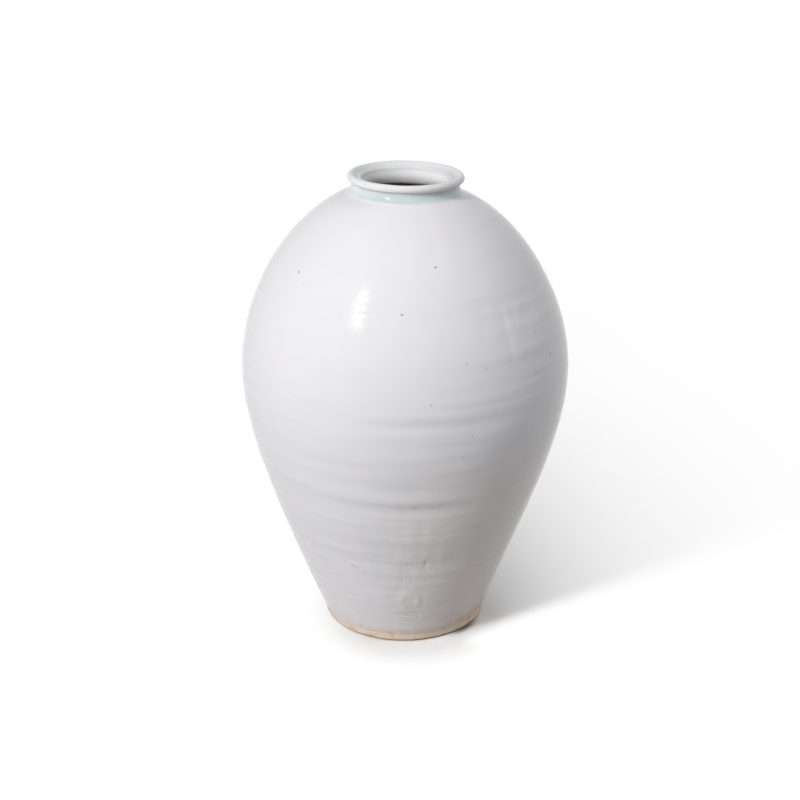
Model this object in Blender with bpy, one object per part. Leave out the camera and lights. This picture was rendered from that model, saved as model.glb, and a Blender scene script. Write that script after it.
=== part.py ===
"""A meiping vase, thrown in sections that are luted together with slip.

Seven turned clay pieces stand on one another round the Z axis: foot ring, base slab,
lower body, belly, shoulder, neck collar and mouth ring. The foot stands on z = 0.
All sizes are in metres. A profile point is a Vector of (radius, height).
"""
import math

import bmesh
import bpy
from mathutils import Vector

# Driving sizes of the whole vase
VASE_HEIGHT = 0.450
BELLY_RADIUS = 0.1574
BELLY_HEIGHT = 0.262
LOWER_SEAM_HEIGHT = 0.175
WALL = 0.0075
SLIP_GAP = 0.0003

# Foot ring and base slab
FOOT_HEIGHT = 0.008
FOOT_TOP_RADIUS = 0.0808
FOOT_EDGE_RADIUS = 0.0792
FOOT_RIM_WIDTH = 0.014
FOOT_EDGE_ROUNDING = 0.001
SLAB_THICKNESS = 0.012

# Neck collar and mouth ring
COLLAR_HEIGHT = 0.010
COLLAR_RADIUS = 0.0498
COLLAR_FOOT_RADIUS = 0.0525
MOUTH_RADIUS = 0.0547
LIP_BEAD_DIAMETER = 0.0071
THROAT_RADIUS = 0.042
THROAT_ROUNDING = 0.0025
LEDGE_RADIUS = 0.045
LEDGE_DEPTH = 0.0044
LEDGE_EDGE_RISE = 0.0005
LEDGE_EDGE_ROUNDING = 0.0014

# Character of the outer curve: slopes in degrees, and pulls of the curve's handles as
# shares of the height or the width of the stretch that they shape
FOOT_FLARE = 21.4
SHOULDER_SLOPE = 22.0
FOOT_PULL = 0.584
BELLY_PULL_BELOW = 0.205
BELLY_PULL_ABOVE = 0.405
SHOULDER_PULL = 0.627

# Fineness of the turned surfaces
SEGMENTS = 56
OUTER_ROWS = {"lower_body": 8, "belly": 5, "shoulder": 13}
INNER_ROWS = {"lower_body": 4, "belly": 3, "shoulder": 7}
COLLAR_FILLET_ROWS = 4
LIP_ROWS = 10
THROAT_ROWS = 3
BISECTION_STEPS = 40
MERGE_DISTANCE = 0.00001
SHARP_EDGE_ANGLE = 35.0

# Heights and radii that follow from the driving sizes
LIP_BOTTOM = VASE_HEIGHT - LIP_BEAD_DIAMETER
SHOULDER_TOP = LIP_BOTTOM - COLLAR_HEIGHT
BODY_BOTTOM = FOOT_HEIGHT + SLIP_GAP
SLAB_TOP = BODY_BOTTOM + SLAB_THICKNESS
LIP_BEAD_RADIUS = LIP_BEAD_DIAMETER / 2
LIP_CENTRE = Vector((MOUTH_RADIUS - LIP_BEAD_RADIUS, VASE_HEIGHT - LIP_BEAD_RADIUS))

# Finishes: colour, roughness
CLAY_BARE = ((0.63, 0.50, 0.37), 0.85)
CLAY_SLAB = ((0.66, 0.56, 0.45), 0.80)
GLAZE_WHITE = ((0.78, 0.785, 0.79), 0.22)
GLAZE_WHITE_BELLY = ((0.79, 0.79, 0.79), 0.22)
GLAZE_WHITE_SHOULDER = ((0.80, 0.80, 0.805), 0.20)
GLAZE_POOLED = ((0.60, 0.74, 0.71), 0.12)
GLAZE_LIP = ((0.79, 0.80, 0.81), 0.15)


def clear_scene():
    """Remove the objects that are already in the scene."""
    for scene_object in list(bpy.data.objects):
        bpy.data.objects.remove(scene_object, do_unlink=True)


def finish(name, colour, roughness):
    """Return a fired-clay or glaze material."""
    material = bpy.data.materials.new(name + "_finish")
    material.use_nodes = True
    shader = material.node_tree.nodes["Principled BSDF"]
    shader.inputs["Base Color"].default_value = (*colour, 1.0)
    shader.inputs["Roughness"].default_value = roughness
    shader.inputs["Metallic"].default_value = 0.0
    return material


def turn_piece(name, profile, look):
    """Turn a closed profile round the Z axis into one solid piece."""
    mesh = bmesh.new()
    rim = [mesh.verts.new((radius, 0.0, height)) for radius, height in profile]
    edges = [mesh.edges.new(pair) for pair in zip(rim, rim[1:])]
    closes_on_itself = profile[0][0] > 0.0
    if closes_on_itself:
        edges.append(mesh.edges.new((rim[-1], rim[0])))
    bmesh.ops.spin(
        mesh,
        geom=rim + edges,
        cent=(0.0, 0.0, 0.0),
        axis=(0.0, 0.0, 1.0),
        angle=math.tau,
        steps=SEGMENTS,
        use_merge=True,
    )
    bmesh.ops.remove_doubles(mesh, verts=mesh.verts, dist=MERGE_DISTANCE)
    bmesh.ops.recalc_face_normals(mesh, faces=mesh.faces)
    data = bpy.data.meshes.new(name)
    mesh.to_mesh(data)
    mesh.free()
    data.shade_smooth()
    data.set_sharp_from_angle(angle=math.radians(SHARP_EDGE_ANGLE))
    data.materials.append(finish(name, *look))
    piece = bpy.data.objects.new(name, data)
    bpy.context.scene.collection.objects.link(piece)
    return piece


def foot_to_belly():
    """Return the knots and handles of the outer curve below the widest place."""
    height = BELLY_HEIGHT - FOOT_HEIGHT
    flare = math.radians(FOOT_FLARE)
    foot = Vector((FOOT_TOP_RADIUS, FOOT_HEIGHT))
    belly = Vector((BELLY_RADIUS, BELLY_HEIGHT))
    rising = Vector((math.sin(flare), math.cos(flare))) * FOOT_PULL * height
    return foot, foot + rising, belly - Vector((0.0, BELLY_PULL_BELOW * height)), belly


def belly_to_collar():
    """Return the knots and handles of the outer curve above the widest place."""
    height = SHOULDER_TOP - BELLY_HEIGHT
    width = BELLY_RADIUS - COLLAR_FOOT_RADIUS
    slope = math.radians(SHOULDER_SLOPE)
    belly = Vector((BELLY_RADIUS, BELLY_HEIGHT))
    collar = Vector((COLLAR_FOOT_RADIUS, SHOULDER_TOP))
    falling = Vector((math.cos(slope), -math.sin(slope))) * SHOULDER_PULL * width
    return belly, belly + Vector((0.0, BELLY_PULL_ABOVE * height)), collar + falling, collar


def curve_point(curve, share):
    """Return the point at a share of the way along a cubic curve."""
    rest = 1.0 - share
    start, pull_start, pull_end, end = curve
    return (
        start * rest**3
        + pull_start * 3 * rest**2 * share
        + pull_end * 3 * rest * share**2
        + end * share**3
    )


def curve_direction(curve, share):
    """Return the unit direction of travel along a cubic curve."""
    rest = 1.0 - share
    start, pull_start, pull_end, end = curve
    slope = (
        (pull_start - start) * rest**2
        + (pull_end - pull_start) * 2 * rest * share
        + (end - pull_end) * share**2
    )
    return slope.normalized()


def share_at_height(curve, height):
    """Return how far along a rising curve a height is reached."""
    low, high = 0.0, 1.0
    for _ in range(BISECTION_STEPS):
        middle = (low + high) / 2
        if curve_point(curve, middle)[1] < height:
            low = middle
        else:
            high = middle
    return (low + high) / 2


def wall_side(curve, low_share, high_share, rows, depth):
    """Return points along a wall, sunk by a depth below its outer curve."""
    points = []
    for row in range(rows + 1):
        share = low_share + (high_share - low_share) * row / rows
        forward = curve_direction(curve, share)
        inward = Vector((-forward[1], forward[0]))
        points.append(curve_point(curve, share) + inward * depth)
    return points


def bend(start, corner, end, rows):
    """Return points that round the corner between two ends."""
    points = []
    for row in range(rows + 1):
        share = row / rows
        rest = 1.0 - share
        points.append(start * rest**2 + corner * 2 * rest * share + end * share**2)
    return points


def run_down_to(point, direction, height):
    """Follow a direction from a point to a height."""
    return point + direction * (height - point[1]) / direction[1]


def foot_ring():
    """The splayed ring that the vase stands on, with a bare flat bearing rim."""
    inner_radius = FOOT_EDGE_RADIUS - FOOT_RIM_WIDTH
    rounding = FOOT_EDGE_ROUNDING
    profile = [
        Vector((FOOT_TOP_RADIUS, FOOT_HEIGHT)),
        Vector((FOOT_EDGE_RADIUS, rounding)),
        Vector((FOOT_EDGE_RADIUS - rounding, 0.0)),
        Vector((inner_radius + rounding, 0.0)),
        Vector((inner_radius, rounding)),
        Vector((inner_radius, FOOT_HEIGHT)),
    ]
    turn_piece("foot_ring", profile, CLAY_BARE)


def inside_of_lower_wall():
    """Return the lowest point inside the lower wall, the point above the slab, and its share."""
    curve = foot_to_belly()
    slab_share = share_at_height(curve, SLAB_TOP)
    point = wall_side(curve, slab_share, slab_share, 1, WALL)[0]
    direction = curve_direction(curve, slab_share)
    return run_down_to(point, direction, BODY_BOTTOM), point, slab_share


def base_slab():
    """The flat floor disc, seated on the foot ring inside the lower wall."""
    wall_bottom, wall_point, _ = inside_of_lower_wall()
    direction = (wall_point - wall_bottom).normalized()
    inward = Vector((-direction[1], direction[0])) * SLIP_GAP
    edge_bottom = run_down_to(wall_bottom + inward, direction, BODY_BOTTOM)
    edge_top = run_down_to(wall_bottom + inward, direction, SLAB_TOP)
    middle_top = Vector((0.0, SLAB_TOP))
    middle_bottom = Vector((0.0, BODY_BOTTOM))
    turn_piece("base_slab", [middle_top, edge_top, edge_bottom, middle_bottom], CLAY_SLAB)


def lower_body():
    """The flaring wall from the foot ring to the lower seam."""
    curve = foot_to_belly()
    bottom_share = share_at_height(curve, BODY_BOTTOM)
    seam_share = share_at_height(curve, LOWER_SEAM_HEIGHT)
    wall_bottom, _, slab_share = inside_of_lower_wall()
    seam_step = curve_direction(curve, seam_share) * SLIP_GAP / 2
    outer = wall_side(curve, bottom_share, seam_share, OUTER_ROWS["lower_body"], 0.0)
    inner = wall_side(curve, slab_share, seam_share, INNER_ROWS["lower_body"], WALL)
    outer[-1] -= seam_step
    inner[-1] -= seam_step
    profile = outer + inner[::-1] + [wall_bottom]
    turn_piece("lower_body", profile, GLAZE_WHITE)


def belly():
    """The widening band from the lower seam to the seam at the widest place."""
    curve = foot_to_belly()
    seam_share = share_at_height(curve, LOWER_SEAM_HEIGHT)
    lower_step = curve_direction(curve, seam_share) * SLIP_GAP / 2
    upper_step = Vector((0.0, SLIP_GAP / 2))
    outer = wall_side(curve, seam_share, 1.0, OUTER_ROWS["belly"], 0.0)
    inner = wall_side(curve, seam_share, 1.0, INNER_ROWS["belly"], WALL)
    for side in (outer, inner):
        side[0] += lower_step
        side[-1] -= upper_step
    turn_piece("belly", outer + inner[::-1], GLAZE_WHITE_BELLY)


def shoulder():
    """The dome from the widest place to a flat seat round the throat hole."""
    curve = belly_to_collar()
    lower_step = Vector((0.0, SLIP_GAP / 2))
    outer = wall_side(curve, 0.0, 1.0, OUTER_ROWS["shoulder"], 0.0)
    inner = wall_side(curve, 0.0, 1.0, INNER_ROWS["shoulder"], WALL)
    outer[0] += lower_step
    inner[0] += lower_step
    inner_slope = curve_direction(curve, 1.0)
    reach = (inner[-1][0] - THROAT_RADIUS) / -inner_slope[0]
    throat_corner = inner[-1] + inner_slope * reach
    throat_start = throat_corner + Vector((0.0, THROAT_ROUNDING))
    seat_edge = Vector((THROAT_RADIUS, SHOULDER_TOP))
    rounding = bend(throat_start, throat_corner, inner[-1], THROAT_ROWS)
    profile = outer + [seat_edge] + rounding + inner[-2::-1]
    turn_piece("shoulder", profile, GLAZE_WHITE_SHOULDER)


def neck_collar():
    """The short neck that stands on the shoulder's seat, filleted at its foot."""
    bottom = SHOULDER_TOP + SLIP_GAP
    top = LIP_BOTTOM - SLIP_GAP
    fillet = COLLAR_FOOT_RADIUS - COLLAR_RADIUS
    foot = Vector((COLLAR_FOOT_RADIUS, bottom))
    corner = Vector((COLLAR_RADIUS, bottom))
    waist = Vector((COLLAR_RADIUS, bottom + fillet))
    profile = bend(foot, corner, waist, COLLAR_FILLET_ROWS)
    profile += [Vector((COLLAR_RADIUS, top))]
    profile += [Vector((THROAT_RADIUS, top)), Vector((THROAT_RADIUS, bottom))]
    turn_piece("neck_collar", profile, GLAZE_POOLED)


def ledge_tangent_angle(groove):
    """Return the angle on the lip bead where a line to the groove leaves it smoothly."""
    towards = groove - LIP_CENTRE
    half_angle = math.acos(LIP_BEAD_RADIUS / towards.length)
    return math.atan2(towards[1], towards[0]) % math.tau - half_angle


def mouth_ring():
    """The rolled lip, whose inner ledge dips to a groove before the throat."""
    groove = Vector((LEDGE_RADIUS, VASE_HEIGHT - LEDGE_DEPTH))
    first_angle = -math.pi / 2
    last_angle = ledge_tangent_angle(groove)
    profile = []
    for row in range(LIP_ROWS + 1):
        angle = first_angle + (last_angle - first_angle) * row / LIP_ROWS
        spoke = Vector((math.cos(angle), math.sin(angle)))
        profile.append(LIP_CENTRE + spoke * LIP_BEAD_RADIUS)
    edge_height = groove[1] + LEDGE_EDGE_RISE
    edge_start = Vector((THROAT_RADIUS + LEDGE_EDGE_ROUNDING, edge_height))
    edge_corner = Vector((THROAT_RADIUS, edge_height))
    edge_end = Vector((THROAT_RADIUS, edge_height - LEDGE_EDGE_ROUNDING))
    profile += [groove]
    profile += bend(edge_start, edge_corner, edge_end, THROAT_ROWS)
    profile += [Vector((THROAT_RADIUS, LIP_BOTTOM))]
    turn_piece("mouth_ring", profile, GLAZE_LIP)


def main():
    """Build the vase from the foot up."""
    clear_scene()
    foot_ring()
    base_slab()
    lower_body()
    belly()
    shoulder()
    neck_collar()
    mouth_ring()


main()
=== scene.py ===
# %% [markdown]
# A tall white jar, dressed for the studio
#
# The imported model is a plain, exact vase of seven turned clay pieces. A real one is softer: the
# potter's fingers leave rings in the wall, the joins between the thrown sections show as low
# grooves, the glaze pools round the neck, and the foot is bare, flashed clay. This lesson turns
# each piece again with those marks, makes the glaze and the clay from shader nodes, and sets up
# a plain pale floor, soft light and a camera.
#
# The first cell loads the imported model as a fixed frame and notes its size. Blender's lengths are
# metres, but a potter thinks in millimetres, so sizes here are in millimetres until the moment a
# mesh is made. The bearing of a point is its angle round the vase in degrees: 0 is the front,
# which is towards -Y, and 90 is +X.

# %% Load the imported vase
import math

import bmesh
import bpy
import numpy as np
from mathutils import Matrix, Vector


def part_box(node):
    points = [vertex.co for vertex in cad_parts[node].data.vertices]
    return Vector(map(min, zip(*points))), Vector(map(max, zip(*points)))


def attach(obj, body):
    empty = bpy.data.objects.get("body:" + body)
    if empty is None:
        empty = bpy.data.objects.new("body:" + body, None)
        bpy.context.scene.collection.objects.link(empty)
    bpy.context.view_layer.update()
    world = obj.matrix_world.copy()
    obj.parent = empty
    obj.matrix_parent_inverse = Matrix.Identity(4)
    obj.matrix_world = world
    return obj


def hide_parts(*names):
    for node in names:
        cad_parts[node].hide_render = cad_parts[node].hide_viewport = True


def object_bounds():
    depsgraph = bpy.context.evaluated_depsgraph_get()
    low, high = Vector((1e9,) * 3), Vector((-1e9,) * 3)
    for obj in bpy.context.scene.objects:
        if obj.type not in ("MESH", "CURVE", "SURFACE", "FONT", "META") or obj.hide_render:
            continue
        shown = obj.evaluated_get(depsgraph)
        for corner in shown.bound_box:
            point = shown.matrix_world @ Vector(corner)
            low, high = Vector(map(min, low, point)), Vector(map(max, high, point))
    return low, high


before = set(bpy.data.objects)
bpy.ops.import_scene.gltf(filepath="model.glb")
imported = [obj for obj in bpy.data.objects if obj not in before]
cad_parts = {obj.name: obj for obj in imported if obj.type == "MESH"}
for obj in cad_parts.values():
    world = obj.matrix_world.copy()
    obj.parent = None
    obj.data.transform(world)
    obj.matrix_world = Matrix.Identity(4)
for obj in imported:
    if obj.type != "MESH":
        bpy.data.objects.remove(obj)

MM = 0.001
packed_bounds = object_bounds()
tallest = packed_bounds[1].z / MM
print("packed vase, in mm:", [round(side / MM, 1) for side in packed_bounds[1] - packed_bounds[0]])

# %% [markdown]
# The camera first
#
# The picture is taken from a little above the mouth, with a long lens, from a metre and a half
# away. A perspective this mild can be found by fitting: the mouth and the foot are both circles,
# so the shapes of their two ovals give the height, the distance and the tilt together. The small
# turn and roll are what is left once both ovals lie level.

# %% Place the camera
CAMERA_PLACE = Vector((0.0, -1.39187, 0.77030))
CAMERA_DIP = 21.430
CAMERA_TURN = 0.171
CAMERA_ROLL = 0.260
LENS = 68.687
SENSOR = 36.0

lens = bpy.data.cameras.new("studio_lens")
lens.sensor_width = SENSOR
lens.lens = LENS
camera = bpy.data.objects.new("studio_camera", lens)
bpy.context.scene.collection.objects.link(camera)
aim = Matrix.Rotation(math.radians(CAMERA_TURN), 4, "Z")
aim @= Matrix.Rotation(math.radians(90.0 - CAMERA_DIP), 4, "X")
aim @= Matrix.Rotation(math.radians(CAMERA_ROLL), 4, "Z")
camera.matrix_world = Matrix.Translation(CAMERA_PLACE) @ aim
bpy.context.scene.camera = camera
print("camera to axis:", round(-CAMERA_PLACE.y, 3), "m")

# %% [markdown]
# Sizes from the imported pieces
#
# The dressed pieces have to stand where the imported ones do. Their radii and heights could be
# typed in again, but then a change of the model would leave them behind, so they are read here.

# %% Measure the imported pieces
def node_size(node):
    """The outer radius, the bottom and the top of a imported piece."""
    low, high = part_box(node)
    return high.x / MM, low.z / MM, high.z / MM


foot_radius, _, foot_top = node_size("foot_ring")
belly_radius, _, belly_top = node_size("belly")
_, dome_bottom, dome_top = node_size("shoulder")
neck_radius, _, _ = node_size("neck_collar")
mouth_radius, lip_bottom, _ = node_size("mouth_ring")
foot_point = np.array([foot_radius, foot_top])
widest = np.array([belly_radius, (belly_top + dome_bottom) / 2])
neck_point = np.array([neck_radius, dome_top])
print("widest place:", round(widest[0], 1), "mm from the axis,", round(widest[1], 1), "mm up")

# %% [markdown]
# The line of the wall
#
# A meiping is narrow at the foot, full at the shoulder and small at the mouth. Its outline could
# be traced point by point, but a potter draws it in two sweeps of the rib, and so does this: one
# cubic curve from the foot to the widest place and one from there to the neck. Their ends come
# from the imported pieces. Only the slopes at the ends and the strength of each pull are chosen.

# %% Draw the outer line in two sweeps
FOOT_FLARE = 21.4
SHOULDER_SLOPE = 22.0
FOOT_PULL = 0.584
BELLY_PULL_BELOW = 0.205
BELLY_PULL_ABOVE = 0.405
SHOULDER_PULL = 0.627
LINE_SAMPLES = 1200


def sweep(start, pull_start, pull_end, end):
    """Points along a cubic curve, as rows of radius and height."""
    share = np.linspace(0.0, 1.0, LINE_SAMPLES)[:, None]
    rest = 1.0 - share
    return (
        start * rest**3
        + pull_start * 3 * rest**2 * share
        + pull_end * 3 * rest * share**2
        + end * share**3
    )


def heading(degrees):
    """The direction, as radius and height, that rises at this angle from level."""
    return np.array([math.cos(math.radians(degrees)), math.sin(math.radians(degrees))])


rise = widest[1] - foot_point[1]
dome = neck_point[1] - widest[1]
inset = widest[0] - neck_point[0]
below = sweep(
    foot_point,
    foot_point + heading(90.0 - FOOT_FLARE) * FOOT_PULL * rise,
    widest - heading(90.0) * BELLY_PULL_BELOW * rise,
    widest,
)
above = sweep(
    widest,
    widest + heading(90.0) * BELLY_PULL_ABOVE * dome,
    neck_point + heading(-SHOULDER_SLOPE) * SHOULDER_PULL * inset,
    neck_point,
)
wall_line = np.vstack([below, above[1:]])
wall_run = np.concatenate([[0.0], np.cumsum(np.hypot(*np.diff(wall_line, axis=0).T))])
print("length of the outer line, foot to neck:", round(wall_run[-1], 1), "mm")

# %% [markdown]
# Marks of the making
#
# Nothing thrown by hand is a perfect curve. Fingers leave rings some two centimetres apart, a
# join between two sections stays as a low groove, and wet glaze runs and settles on its way down.
# A bump map could fake these, but the outline and the shine would stay smooth, so the marks are
# real relief: a height in millimetres for every bearing and height on the wall.

# %% Soft shapes to build marks from
def bell(distance, width):
    """A smooth hump: 1 in the middle, and about a third at the width."""
    return np.exp(-((distance / width) ** 2))


def ease(value, start, end):
    """Rise smoothly from 0 at the start to 1 at the end."""
    share = np.clip((value - start) / (end - start), 0.0, 1.0)
    return share * share * (3.0 - 2.0 * share)


def turn_from(bearing, centre):
    """The smaller angle from a centre to a bearing, with its sign."""
    return (bearing - centre + 180.0) % 360.0 - 180.0


def drift(bearing, height, patch_turn, patch_height, seed):
    """Smooth random relief from -1 to 1, in patches that close on themselves round the vase."""
    columns = round(360.0 / patch_turn)
    rows = math.ceil(tallest / patch_height) + 2
    patches = np.random.default_rng(seed).uniform(-1.0, 1.0, (rows, columns))
    across = (bearing % 360.0) / 360.0 * columns
    up = np.clip(height / patch_height, 0.0, rows - 1.001)
    column = np.floor(across).astype(int)
    row = np.floor(up).astype(int)
    side = ease(across - column, 0.0, 1.0)
    lift = ease(up - row, 0.0, 1.0)
    column, beside = column % columns, (column + 1) % columns
    low = patches[row, column] * (1.0 - side) + patches[row, beside] * side
    high = patches[row + 1, column] * (1.0 - side) + patches[row + 1, beside] * side
    return low * (1.0 - lift) + high * lift


print("relief is worked out up to", round(tallest), "mm")

# %% [markdown]
# Throwing rings
#
# A finger or a rib that climbs the turning wall leaves shallow troughs with low ridges between
# them. Each is shaped like a bell and is strongest round one bearing, where the hand pressed, so
# a ring fades in and out on its way round. On the far side they are weaker and sway up and down.
# The two joins are troughs too, only deeper. The lower one is ragged, so three troughs that lie
# side by side make it.

# %% Throwing rings and the two joins
FINGER_RINGS = (
    # height, depth (negative for a ridge), half width (mm), strongest bearing, spread (degrees)
    (395.0, -0.45, 8.0, 47.0, 18.0),
    (356.1, 0.40, 5.6, 37.0, 70.0),
    (344.7, 0.39, 7.3, 53.0, 46.0),
    (313.0, -0.48, 7.9, 48.0, 36.0),
    (295.2, 0.30, 5.7, 32.0, 12.0),
    (273.0, 0.18, 4.8, 33.0, 21.0),
    (246.1, -0.30, 8.0, 33.0, 8.0),
    (228.5, -0.42, 8.0, 21.0, 15.0),
    (216.6, 0.26, 6.7, -43.0, 41.0),
    (212.4, -0.54, 7.3, 19.0, 11.0),
    (200.6, 0.27, 4.4, -4.0, 27.0),
    (192.7, 0.24, 3.9, 19.0, 11.0),
    (192.3, 0.54, 8.0, -1.0, 11.0),
    (183.5, -0.40, 7.9, -55.0, 70.0),
    (183.3, 0.33, 8.0, 24.0, 14.0),
    (157.4, -0.37, 7.9, -48.0, 61.0),
    (147.3, -0.37, 8.0, -18.0, 28.0),
    (138.7, -0.48, 7.2, -13.0, 37.0),
    (130.0, -0.43, 8.0, 8.0, 13.0),
    (115.4, 0.31, 8.0, -8.0, 8.0),
    (111.1, -0.29, 7.8, -31.0, 12.0),
    (107.2, 0.50, 7.3, -15.0, 36.0),
    (101.4, 0.51, 8.0, 7.0, 17.0),
    (91.4, 0.48, 8.0, 14.0, 14.0),
    (82.9, 0.25, 4.7, -4.0, 36.0),
    (64.0, 0.33, 7.5, -55.0, 22.0),
    (60.0, -0.35, 8.0, 5.0, 30.0),
    (50.0, -0.45, 8.5, 4.0, 30.0),
    (30.0, -0.25, 7.0, 38.0, 20.0),
)
JOINS = (
    (259.0, 0.57, 5.5, 13.0, 31.0),
    (172.1, 0.42, 4.6, 4.0, 24.0),
    (168.3, 0.49, 6.7, 10.0, 14.0),
    (165.9, 0.44, 7.5, 7.0, 24.0),
)
print(len(FINGER_RINGS), "finger rings, and", len(JOINS), "troughs for the two joins")

# %% [markdown]
# From a table to a groove
#
# Each row of the tables becomes a smooth groove. A sine could space rings evenly, but a hand
# doesn't, so every ring keeps its own height, depth and width, and they are added up.

# %% Press the rings into the wall
RING_SWAY, SWAYS_ROUND, SWAY_STEP = 2.2, 2.0, 1.7
FAR_SHARE = 0.4
FAR_FROM, FAR_TO = 80.0, 125.0


def troughs(bearing, height, rings):
    """How far these rings lower the wall, in mm."""
    depth = np.zeros_like(height)
    turn = np.radians(bearing)
    far = ease(np.abs(turn_from(bearing, 0.0)), FAR_FROM, FAR_TO)
    for number, (middle, deepest, width, pressed, spread) in enumerate(rings):
        level = middle + RING_SWAY * far * np.sin(SWAYS_ROUND * turn + SWAY_STEP * number)
        press = bell(turn_from(bearing, pressed), spread) + FAR_SHARE * far
        depth += deepest * press * bell(height - level, width)
    return depth


print("on the far side the rings sway by", RING_SWAY, "mm")

# %% [markdown]
# Uneven skin, smears and runs
#
# Between the rings the skin is never quite even, and it is rougher low on the wall and high on
# the right. Low on the front the wet skin was wiped upwards, and high on the right the glaze ran
# down in narrow streaks. All of this is drift in several sizes, added up. The smears and the runs
# are stretched upright, and a soft patch fades them out at their edges.

# %% Uneven skin, smears and runs
# Each row of drift: its rise (mm), the size of its patches round (degrees) and up (mm), its seed.
UNEVEN_SKIN = ((0.070, 60.0, 4.5, 3), (0.085, 24.0, 9.0, 4))
UPRIGHT_RUNS = ((0.080, 8.0, 45.0, 5),)
WIPED_STROKES = ((0.30, 3.6, 30.0, 6), (0.14, 7.0, 9.0, 7))
GLAZE_STREAKS = ((0.38, 2.6, 34.0, 8),)
ROUGHER_BY, ROUGHER_UP_TO = 0.9, (250.0, 330.0)
ROUGHER_BEARING, ROUGHER_SPREAD, ROUGHER_FROM = 42.0, 22.0, (270.0, 310.0)
WIPED_BEARING, WIPED_SPREAD = 3.0, 14.0
WIPED_FROM, WIPED_TO = (34.0, 50.0), (146.0, 168.0)
STREAKS_BEARING, STREAKS_SPREAD = 45.0, 9.0
STREAKS_FROM, STREAKS_TO = (292.0, 312.0), (346.0, 366.0)


def drifts(bearing, height, rows):
    """Drift in the sizes of these rows, added up, in mm."""
    return sum(rise * drift(bearing, height, around, up, seed) for rise, around, up, seed in rows)


def soft_patch(bearing, height, middle, spread, starts, stops):
    """1 inside a patch of the wall, fading to 0 at its sides, its bottom and its top."""
    beside = bell(turn_from(bearing, middle), spread)
    return beside * ease(height, *starts) * (1.0 - ease(height, *stops))


def skin_relief(bearing, height):
    """Uneven skin, runs, smears and streaks, in mm."""
    rougher = 1.0 + ROUGHER_BY * (1.0 - ease(height, *ROUGHER_UP_TO))
    at_right = bell(turn_from(bearing, ROUGHER_BEARING), ROUGHER_SPREAD)
    rougher += ROUGHER_BY * at_right * ease(height, *ROUGHER_FROM)
    wiped = soft_patch(bearing, height, WIPED_BEARING, WIPED_SPREAD, WIPED_FROM, WIPED_TO)
    streaked = soft_patch(
        bearing, height, STREAKS_BEARING, STREAKS_SPREAD, STREAKS_FROM, STREAKS_TO
    )
    relief = rougher * drifts(bearing, height, UNEVEN_SKIN)
    relief += drifts(bearing, height, UPRIGHT_RUNS)
    relief += wiped * drifts(bearing, height, WIPED_STROKES)
    return relief + streaked * drifts(bearing, height, GLAZE_STREAKS)


print("smears from", WIPED_FROM[0], "to", WIPED_TO[1], "mm up")

# %% [markdown]
# Dabs, and the fill at the neck
#
# Single dabs of slip, a nick and a fold in the glaze are small humps and hollows. Glaze also ran
# into the corner between the shoulder and the neck, and filled it softly. Now all the marks of
# the outer wall can be added up in one function.

# %% Dabs, and the relief of the whole wall
DABS = (
    # bearing, height, half width, half height, rise (mm); a hollow has a negative rise
    (-1.7, 57.0, 4.5, 3.0, 0.60),
    (8.4, 54.0, 2.4, 8.0, 0.45),
    (10.6, 103.0, 2.4, 5.5, -0.60),
    (-1.1, 70.5, 3.2, 3.6, -0.30),
    (-7.8, 125.0, 3.0, 3.0, -0.20),
    (1.5, 38.0, 8.5, 2.4, -0.62),
    (9.0, 35.5, 3.6, 2.2, -0.40),
    (4.0, 43.0, 10.0, 3.0, 0.25),
    (39.0, 24.0, 3.0, 2.0, -0.35),
)
NECK_FILL, NECK_FILL_REACH = 1.25, 4.6
FULL_FILL_BELOW_SEAT = 1.0


def wall_relief(bearing, height, radius):
    """Relief of the outer wall in mm, outwards positive."""
    relief = skin_relief(bearing, height)
    relief -= troughs(bearing, height, FINGER_RINGS) + troughs(bearing, height, JOINS)
    reach = np.clip(1.0 - (radius - neck_radius) / NECK_FILL_REACH, 0.0, 1.0)
    relief += NECK_FILL * reach**2 * ease(height, widest[1], dome_top - FULL_FILL_BELOW_SEAT)
    for dab_bearing, dab_height, half_width, half_height, rise_by in DABS:
        around = np.radians(turn_from(bearing, dab_bearing)) * radius
        relief += rise_by * bell(around, half_width) * bell(height - dab_height, half_height)
    return relief


print(len(DABS), "dabs")

# %% [markdown]
# Warp and lean
#
# A jar this size moves while it dries and again in the kiln. Measured against a true axis, the
# middle of this one strays by up to a millimetre to the left and the right on its way up, and the
# mouth dips a little to the right. A low polynomial through the measured offsets keeps the lean
# smooth.

# %% Lean of the wall and tilt of the mouth
LEAN_HEIGHTS = (0.0, 67.5, 157.5, 247.5, 337.5, 396.0, 434.0)
LEAN_OFFSETS = (0.74, -0.12, 0.08, 0.80, 0.44, -1.00, -0.30)
LEAN_DEGREE = 4
MOUTH_OFFSET = 0.26
MOUTH_TILT = -0.0103
OFFSET_FROM_BELOW_SEAT, TILT_FROM_BELOW_SEAT = 6.0, 30.0

lean = np.polynomial.Polynomial.fit(LEAN_HEIGHTS, LEAN_OFFSETS, LEAN_DEGREE)


def settle(radius, bearing, height):
    """Places on the warped vase, in mm, for places on the true one."""
    turn = np.radians(bearing)
    near_mouth = ease(height, dome_top - OFFSET_FROM_BELOW_SEAT, lip_bottom)
    sideways = lean(np.minimum(height, dome_top)) * (1.0 - near_mouth)
    sideways = sideways + MOUTH_OFFSET * near_mouth
    across = radius * np.sin(turn) + sideways
    tilting = ease(height, dome_top - TILT_FROM_BELOW_SEAT, lip_bottom)
    dip = MOUTH_TILT * across * tilting
    return np.stack([across, -radius * np.cos(turn), height + dip], axis=-1)


print("lean at the widest place:", round(float(lean(widest[1])), 2), "mm")

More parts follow.
